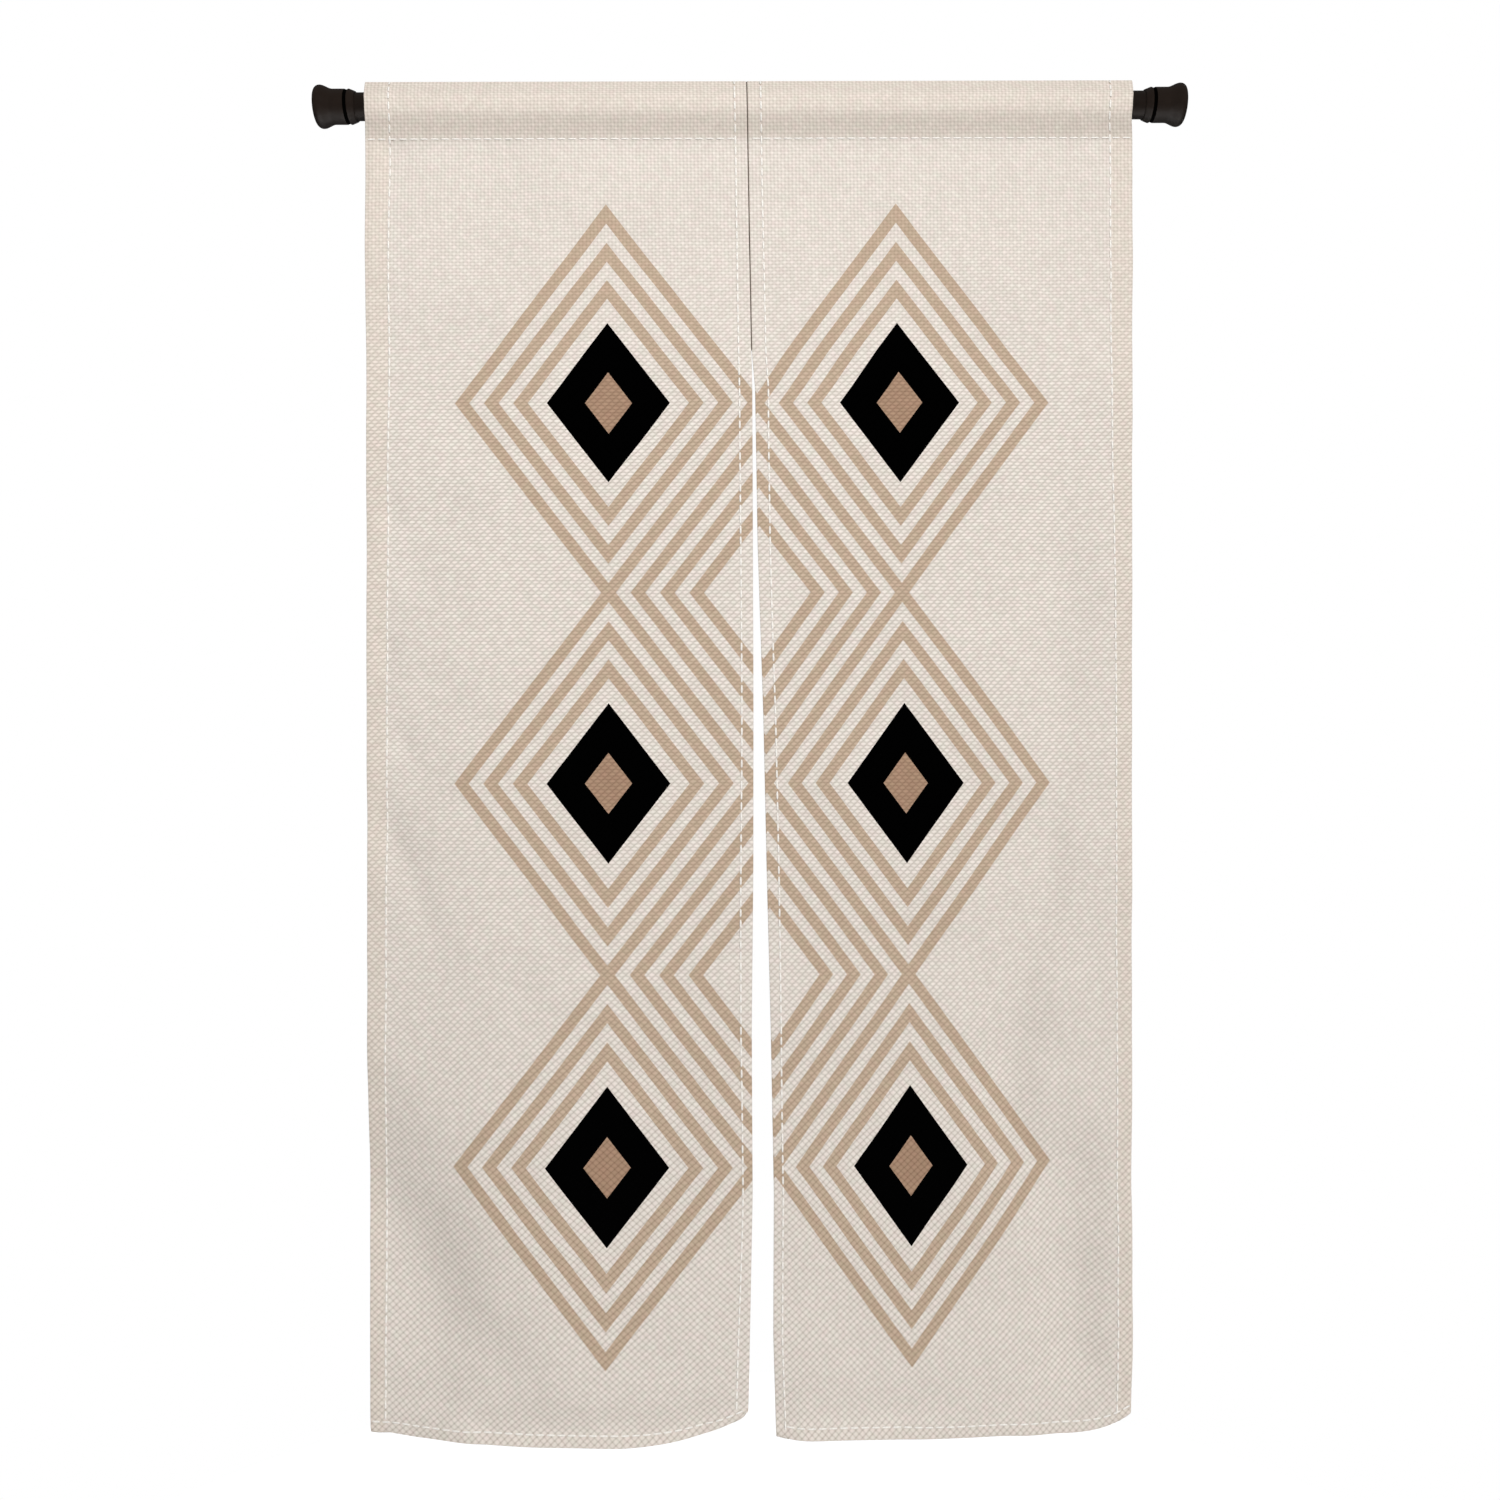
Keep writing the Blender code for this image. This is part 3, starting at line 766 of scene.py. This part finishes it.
def makeHardware(rodFinish, capFinish, grooveShadeFinish):
    half, inner = rod["half"], rod["radius"] - rod["wall"]
    tube = turnedObject("curtain_rod", [(-half, inner), (-half, rod["radius"]), (half, rod["radius"]),
                                        (half, inner)], True, rodFinish)
    made = [(tube, "rod", "rod")]
    for name, direction in (("right", 1), ("left", -1)):
        profile = [(direction * x, radius) for x, radius in capProfile()]
        piece = turnedObject(name + "_cap", profile, False, capFinish)
        paintGrooveShade(piece, grooveShadeFinish)
        made.append((piece, "end_cap_" + name, "end_cap"))
    for piece, node, slot in made:
        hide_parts(node)
        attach(piece, rootBody)
    print("rod and caps")


def addNode(tree, kind, settings=None, **inputs):
    made = tree.nodes.new("ShaderNode" + kind)
    for name, value in (settings or {}).items():
        setattr(made, name, value)
    for name, value in inputs.items():
        plug(tree, made.inputs[name.replace("_", " ")], value)
    return made


def plug(tree, socket, value):
    if isinstance(value, bpy.types.NodeSocket):
        tree.links.new(value, socket)
    else:
        socket.default_value = value


def calc(tree, operation, *values):
    made = tree.nodes.new("ShaderNodeMath")
    made.operation = operation
    for socket, value in zip(made.inputs, values):
        plug(tree, socket, value)
    return made.outputs[0]


def plus(tree, first, second):
    return calc(tree, "ADD", first, second)


def minus(tree, first, second):
    return calc(tree, "SUBTRACT", first, second)


def times(tree, first, second):
    return calc(tree, "MULTIPLY", first, second)


def divided(tree, first, second):
    return calc(tree, "DIVIDE", first, second)


def centred(tree, noise, size):
    # noise about zero
    return times(tree, minus(tree, noise, 0.5), size)


def blendColours(tree, share, first, second, kind="MIX"):
    made = tree.nodes.new("ShaderNodeMix")
    made.data_type = "RGBA"
    made.blend_type = kind
    plug(tree, made.inputs["Factor"], share)
    plug(tree, made.inputs[6], first)
    plug(tree, made.inputs[7], second)
    return made.outputs[2]


def toned(tree, colour, red, green, blue):
    tones = addNode(tree, "CombineXYZ", X=red, Y=green, Z=blue).outputs[0]
    return blendColours(tree, 1.0, colour, tones, "MULTIPLY")


def addRelief(tree, shader, height, depth, strength):
    bump = addNode(tree, "Bump", Height=height, Distance=depth, Strength=strength)
    plug(tree, shader.inputs["Normal"], bump.outputs[0])


def flatPlace(tree):
    return addNode(tree, "SeparateXYZ", Vector=addNode(tree, "UVMap", {"uv_map": "flat"}).outputs[0])


def newFinish(name, **values):
    made = bpy.data.materials.new(name)
    made.use_nodes = True
    shader = made.node_tree.nodes["Principled BSDF"]
    for socket, value in values.items():
        shader.inputs[socket.replace("_", " ")].default_value = value
    return made, made.node_tree, shader


clothLook = {
    "ground": (0.711, 0.647, 0.585, 1),
    "backGround": (0.725, 0.669, 0.603, 1),
    # painted shade where the cloth is doubled or lies on the rod, and how much of it the bottom hem and the
    # header get
    "shadeTint": (0.985, 0.965, 0.940, 1),
    "bottomShade": 0.3, "headerShade": 0.8,
    "headerFrom": 0.0005,        # above the stitches under the rod
    "floatPitch": 0.0080,        # from one float to the next in its row
    "rowPitch": 0.00372,
    "yarnWander": 0.0013,
    "yarnShake": 0.0009,
    "slantDrift": 0.3,
    "floatChance": 0.15,
    "weaveShadeContrast": (0.45, 0.475, 0.52),     # painted shade in the gaps and painted highlight on the floats, in red, green and blue
    "weaveMiddle": 0.735,
    "slubContrast": 0.03,
    "hueDrift": 0.05,
    # beats to a metre, across and down, of the noises that these use
    "wanderRates": (45.0, 60.0), "shakeRates": (330.0, 370.0), "driftRates": (9.0, 9.0),
    "slubRates": (28.0, 253.0), "hueRates": (95.0, 95.0),
    "roughness": 0.95,
    "specular": 0.02,
    "relief": 0.00035, "reliefStrength": 0.8,
    "showThrough": 0.10,
}

# How deep the gaps between the floats look: the ones that rise to the right, that fall, the upright
# and the level ones. Square at the top, in rows further down, a slanting net at the bottom.
# Then how narrow the gaps are, and how strongly the height is painted into the colour, as shade in the gaps
# and highlight on the floats.
gapDepths = {
    "drop": [0.08, 0.35, 0.85, 1.25],
    "rising": [0.04, 0.42, 0.42, 0.62],
    "falling": [0.12, 0.24, 0.28, 0.46],
    "upright": [0.26, 0.0, 0.0, 0.0],
    "level": [0.26, 0.42, 0.36, 0.0],
    "narrowness": [1.5, 3.0, 3.0, 3.0],
    "contrast": [1.50, 1.60, 1.48, 1.15],
}

# The print: nested lozenges, an old geometric figure, in two columns of three
printLook = {
    "halfWidth": 0.160, "halfHeight": 0.210, "top": 0.120, "rows": 3,
    "line": (0.497, 0.378, 0.278, 1), "lineStep": 0.20, "lineShare": 0.50, "firstLine": 0.50,
    "body": (0.0003, 0.0003, 0.0003, 1), "bodySize": 0.42,
    "heart": (0.361, 0.231, 0.155, 1), "heartSize": 0.16,
    "betweenEnds": 1.70,         # the lines between the columns stop here
}


def noiseAt(tree, u, v, rates, detail=1.0):
    place = addNode(tree, "CombineXYZ", X=times(tree, u, rates[0]), Y=times(tree, v, rates[1])).outputs[0]
    return addNode(tree, "TexNoise", {"noise_dimensions": "2D"}, Vector=place, Scale=1.0, Detail=detail)


def gapAt(tree, v, name):
    # what gapDepths says at that drop, with straight lines between its columns
    drops, heights = gapDepths["drop"], gapDepths[name]
    total = heights[0]
    for start, end, low, high in zip(drops, drops[1:], heights, heights[1:]):
        part = addNode(tree, "MapRange", Value=v, From_Min=start, From_Max=end, To_Max=high - low)
        total = plus(tree, total, part.outputs[0])
    return total


def weave(tree, u, v):
    # height of a plain weave: floats in brick order, with gaps that slant both ways between them
    look = clothLook
    wander = centred(tree, noiseAt(tree, u, v, look["wanderRates"], 2.0).outputs[0], look["yarnWander"])
    shake = addNode(tree, "SeparateXYZ", Vector=noiseAt(tree, u, v, look["shakeRates"]).outputs[1])
    x = divided(tree, minus(tree, u, wander), look["floatPitch"] / 2)
    x = plus(tree, x, centred(tree, shake.outputs[0], look["yarnShake"] / look["floatPitch"] * 2))
    y = divided(tree, plus(tree, v, wander), look["rowPitch"])
    y = plus(tree, y, centred(tree, shake.outputs[1], look["yarnShake"] / look["rowPitch"]))
    drift = centred(tree, noiseAt(tree, u, v, look["driftRates"]).outputs[0], look["slantDrift"])
    rising, falling = times(tree, plus(tree, x, y), 0.5), times(tree, minus(tree, x, y), 0.5)
    narrowness = gapAt(tree, v, "narrowness")
    total = 0.0
    for name, place, sign in (("rising", rising, 1.0), ("falling", falling, -1.0),
                              ("upright", x, 0.0), ("level", y, 0.0)):
        fromFloat = times(tree, calc(tree, "PINGPONG", place, 0.5), 2.0)
        gap = calc(tree, "POWER", fromFloat, narrowness)
        depth = gapAt(tree, v, name)
        if sign:
            depth = plus(tree, depth, times(tree, times(tree, drift, sign), depth))
        total = plus(tree, total, times(tree, gap, depth))
    height = minus(tree, 1.0, total)
    # some floats stand higher than others
    number = addNode(tree, "CombineXYZ", X=calc(tree, "ROUND", rising), Y=calc(tree, "ROUND", falling))
    chance = addNode(tree, "TexWhiteNoise", {"noise_dimensions": "2D"}, Vector=number.outputs[0]).outputs[0]
    strength = plus(tree, 1.0 - look["floatChance"] / 2, times(tree, chance, look["floatChance"]))
    return times(tree, calc(tree, "MAXIMUM", height, 0.0), strength)


def slubs(tree, u, v):
    # uneven yarns: streaks along both directions
    across, down = clothLook["slubRates"]
    tones = [noiseAt(tree, u, v, rates, 2.0).outputs[0] for rates in ((across, down), (down, across))]
    return minus(tree, plus(tree, *tones), 1.0)


def printMasks(tree, u, v):
    # v runs down from the rod's axis, u sideways from the meeting edges
    look = printLook
    rowHeight = 2 * look["halfHeight"]
    first = look["top"] + look["halfHeight"]
    last = look["top"] + look["rows"] * rowHeight - look["halfHeight"]
    offset = minus(tree, calc(tree, "ABSOLUTE", u), look["halfWidth"])
    sideways = divided(tree, calc(tree, "ABSOLUTE", offset), look["halfWidth"])
    row = calc(tree, "FLOOR", divided(tree, minus(tree, v, look["top"]), rowHeight))
    row = calc(tree, "MINIMUM", calc(tree, "MAXIMUM", row, 0.0), look["rows"] - 1.0)
    middle = plus(tree, times(tree, row, rowHeight), first)
    fromMiddle = calc(tree, "ABSOLUTE", minus(tree, v, middle))
    size = plus(tree, sideways, divided(tree, fromMiddle, look["halfHeight"]))
    beat = calc(tree, "FRACT", divided(tree, minus(tree, size, look["firstLine"]), look["lineStep"]))
    onLine = calc(tree, "LESS_THAN", calc(tree, "ABSOLUTE", minus(tree, beat, 0.5)), look["lineShare"] / 2)
    between = times(tree, calc(tree, "GREATER_THAN", v, first), calc(tree, "LESS_THAN", v, last))
    between = times(tree, between, calc(tree, "LESS_THAN", offset, 0.0))
    outermost = 1.0 + look["lineStep"] * look["lineShare"] / 2
    limit = plus(tree, outermost, times(tree, between, look["betweenEnds"] - outermost))
    line = times(tree, onLine, calc(tree, "LESS_THAN", size, limit))
    line = times(tree, line, calc(tree, "GREATER_THAN", size, look["firstLine"]))
    return {"line": line, "body": calc(tree, "LESS_THAN", size, look["bodySize"]),
            "heart": calc(tree, "LESS_THAN", size, look["heartSize"])}


def clothFinish(name, isFront):
    look = clothLook
    made, tree, shader = newFinish(name, Roughness=look["roughness"], Specular_IOR_Level=look["specular"])
    place = flatPlace(tree)
    u, v = place.outputs[0], times(tree, place.outputs[1], -1.0)
    height, uneven = weave(tree, u, v), slubs(tree, u, v)
    colour = look["ground"] if isFront else look["backGround"]
    share = 1.0 if isFront else look["showThrough"]
    for part, mask in printMasks(tree, u, v).items():
        colour = blendColours(tree, times(tree, mask, share), colour, printLook[part])
    # painted shade and highlight: the weave's height darkens the colour in its gaps and lightens it on its
    # floats
    relief = times(tree, minus(tree, height, look["weaveMiddle"]), gapAt(tree, v, "contrast"))
    base = plus(tree, 1.0, times(tree, uneven, look["slubContrast"]))
    colour = toned(tree, colour, *(plus(tree, base, times(tree, relief, contrast))
                                   for contrast in look["weaveShadeContrast"]))
    warm = centred(tree, noiseAt(tree, u, v, look["hueRates"]).outputs[0], look["hueDrift"])
    colour = toned(tree, colour, plus(tree, 1.0, warm), minus(tree, 1.0, warm), 1.0)
    # painted shade: the colour is darkened where the cloth is doubled or lies on the rod
    painted_shade = addNode(tree, "Attribute", {"attribute_name": "painted_shade"}).outputs["Fac"]
    shaded = blendColours(tree, 1.0, colour, look["shadeTint"], "MULTIPLY")
    plug(tree, shader.inputs["Base Color"], blendColours(tree, painted_shade, colour, shaded))
    addRelief(tree, shader, height, look["relief"], look["reliefStrength"])
    return made


threadLook = {
    # the seam's thread is dark brown: painted shadow in the gap between the panels
    "cream_thread": (0.985, 0.945, 0.885, 1), "seam_shadow_thread": (0.115, 0.088, 0.070, 1),
    "turns": 5.0,                # of the thread, round a stitch
    "shade": 0.05,               # how much painted shade and highlight the turns put into its tone
    "roughness": 0.6, "sheen": 0.2, "relief": 0.0001, "reliefStrength": 0.5,
}


def threadFinish(name):
    made, tree, shader = newFinish(name, Roughness=threadLook["roughness"], Sheen_Weight=threadLook["sheen"])
    place = flatPlace(tree)
    turned = plus(tree, times(tree, place.outputs[1], threadLook["turns"]), place.outputs[0])
    twist = calc(tree, "SINE", times(tree, turned, math.tau))
    # painted shade and highlight along the turns of the thread
    tone = plus(tree, times(tree, twist, threadLook["shade"]), 1.0 - threadLook["shade"])
    plug(tree, shader.inputs["Base Color"], toned(tree, threadLook[name], tone, tone, tone))
    addRelief(tree, shader, twist, threadLook["relief"], threadLook["reliefStrength"])
    return made


bronzeLook = {
    "rod": {"colour": (0.0135, 0.0088, 0.0066, 1), "roughness": 0.46, "metallic": 0.3},
    "cap": {"colour": (0.0125, 0.0078, 0.0055, 1), "roughness": 0.55, "metallic": 0.0},
    "specular": 0.3,
    "worn": (0.018, 0.012, 0.009, 1), "wornFrom": 0.45, "wornTo": 0.8, "wornMost": 0.5,
    "roughFrom": 0.3, "roughTo": 0.7, "smoother": 0.05, "rougher": 0.06,
    "cloudScale": 120.0, "grainScale": 1800.0, "relief": 0.00005, "reliefStrength": 0.4,
}
# near-black painted shade for the cap's ring groove
grooveShadeLook = {"colour": (0.0005, 0.0004, 0.0003, 1), "roughness": 0.9, "specular": 0.05}


def grooveShadeFinish():
    return newFinish("groove_shade", Base_Color=grooveShadeLook["colour"], Roughness=grooveShadeLook["roughness"],
                     Specular_IOR_Level=grooveShadeLook["specular"])[0]


def bronzeFinish(part):
    # cloudy noise wears and roughens it
    look, own = bronzeLook, bronzeLook[part]
    made, tree, shader = newFinish("bronze_" + part, Metallic=own["metallic"],
                                   Specular_IOR_Level=look["specular"])
    place = addNode(tree, "TexCoord").outputs["Object"]
    cloudy = addNode(tree, "TexNoise", Vector=place, Scale=look["cloudScale"], Detail=4.0).outputs[0]
    grain = addNode(tree, "TexNoise", Vector=place, Scale=look["grainScale"], Detail=2.0).outputs[0]
    share = addNode(tree, "MapRange", Value=cloudy, From_Min=look["wornFrom"], From_Max=look["wornTo"],
                    To_Max=look["wornMost"]).outputs[0]
    plug(tree, shader.inputs["Base Color"], blendColours(tree, share, own["colour"], look["worn"]))
    rough = addNode(tree, "MapRange", Value=cloudy, From_Min=look["roughFrom"], From_Max=look["roughTo"],
                    To_Min=own["roughness"] - look["smoother"], To_Max=own["roughness"] + look["rougher"])
    plug(tree, shader.inputs["Roughness"], rough.outputs[0])
    addRelief(tree, shader, grain, look["relief"], look["reliefStrength"])
    return made


studio = {
    "cameraAt": (-0.00155, -1.5, -0.713), "lens": 32.52, "sensor": 36.0, "roll": -0.0023, "clipStart": 0.05,
    "floorDrop": 2.0, "floorRadius": 1.3, "floorSides": 96,
    "floorColour": (0.85, 0.85, 0.85, 1), "floorRoughness": 0.9,
    "floorLift": 0.75, "floorGlow": 2.2,      # its own light, to the camera and in reflections
    "sunStrength": 1.75, "sunTilt": 78.0, "sunTurn": 22.0, "sunSoftness": 30.0,
    "boxes": [{"name": "soft_box", "at": (0.0, -2.1, 0.5), "size": 1.4, "power": 25.0, "tilt": 70.0},
              {"name": "back_fill", "at": (0.0, 2.1, 0.2), "size": 1.4, "power": 14.0, "tilt": -80.0}],
    "skyTop": 0.17, "skyBottom": 0.15,
}


def makeCamera():
    data = bpy.data.cameras.new("camera")
    data.lens, data.sensor_width, data.clip_start = studio["lens"], studio["sensor"], studio["clipStart"]
    camera = linked("camera", data)
    camera.matrix_world = (Matrix.Translation(studio["cameraAt"]) @ Matrix.Rotation(math.pi / 2, 4, "X")
                           @ Matrix.Rotation(studio["roll"], 4, "Z"))
    bpy.context.scene.camera = camera


def makeFloor():
    shape = bmesh.new()
    bmesh.ops.create_circle(shape, cap_ends=True, segments=studio["floorSides"],
                            radius=studio["floorRadius"],
                            matrix=Matrix.Translation((0, 0, -studio["floorDrop"])))
    pale, tree, shader = newFinish("pale_floor", Roughness=studio["floorRoughness"],
                                   Base_Color=studio["floorColour"], Emission_Color=(1, 1, 1, 1))
    rays = addNode(tree, "LightPath")
    plug(tree, shader.inputs["Emission Strength"],
         plus(tree, times(tree, rays.outputs["Is Camera Ray"], studio["floorLift"]),
              times(tree, rays.outputs["Is Glossy Ray"], studio["floorGlow"])))
    floor = pieceOf("floor", shape, pale)


def makeLights():
    sun = bpy.data.lights.new("key", "SUN")
    sun.energy, sun.angle = studio["sunStrength"], math.radians(studio["sunSoftness"])
    key = linked("key", sun)
    key.rotation_euler = (math.radians(studio["sunTilt"]), 0, math.radians(studio["sunTurn"]))
    key.visible_glossy = False
    for facts in studio["boxes"]:
        light = bpy.data.lights.new(facts["name"], "AREA")
        light.size, light.energy = facts["size"], facts["power"]
        box = linked(facts["name"], light)
        box.location = facts["at"]
        box.rotation_euler = (math.radians(facts["tilt"]), 0, 0)
        box.visible_camera = False
        box.visible_glossy = False


def makeSky():
    # a weak even light, which the camera sees as plain white
    world = bpy.data.worlds.new("studio")
    world.use_nodes = True
    bpy.context.scene.world = world
    tree = world.node_tree
    tree.nodes.clear()
    up = addNode(tree, "SeparateXYZ", Vector=addNode(tree, "TexCoord").outputs["Generated"]).outputs[2]
    height = times(tree, plus(tree, up, 1.0), 0.5)
    strength = plus(tree, times(tree, height, studio["skyTop"] - studio["skyBottom"]), studio["skyBottom"])
    light = addNode(tree, "Background", Color=(1, 1, 1, 1), Strength=strength)
    seen = addNode(tree, "Background", Color=(1, 1, 1, 1), Strength=1.0)
    chosen = addNode(tree, "MixShader")
    plug(tree, chosen.inputs[0], addNode(tree, "LightPath").outputs["Is Camera Ray"])
    plug(tree, chosen.inputs[1], light.outputs[0])
    plug(tree, chosen.inputs[2], seen.outputs[0])
    output = addNode(tree, "OutputWorld")
    plug(tree, output.inputs[0], chosen.outputs[0])


makeCamera()
makeFloor()
makeLights()
makeSky()
bpy.context.scene.view_settings.view_transform = "Standard"
print("studio")

clothFinishes = [clothFinish("printed_cloth", True), clothFinish("cloth_back", False)]
thread = threadFinish("cream_thread")
for panel, facts in panels.items():
    sheet, flatSize = makePanel(panel, clothFinishes)
    stitches = makeStitching(panel, thread)
    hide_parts(facts["node"])
    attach(sheet, rootBody)
    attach(stitches, rootBody)
seam = makeSeam(threadFinish("seam_shadow_thread"))
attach(seam, rootBody)
print("cloth and thread")

makeHardware(bronzeFinish("rod"), bronzeFinish("cap"), grooveShadeFinish())
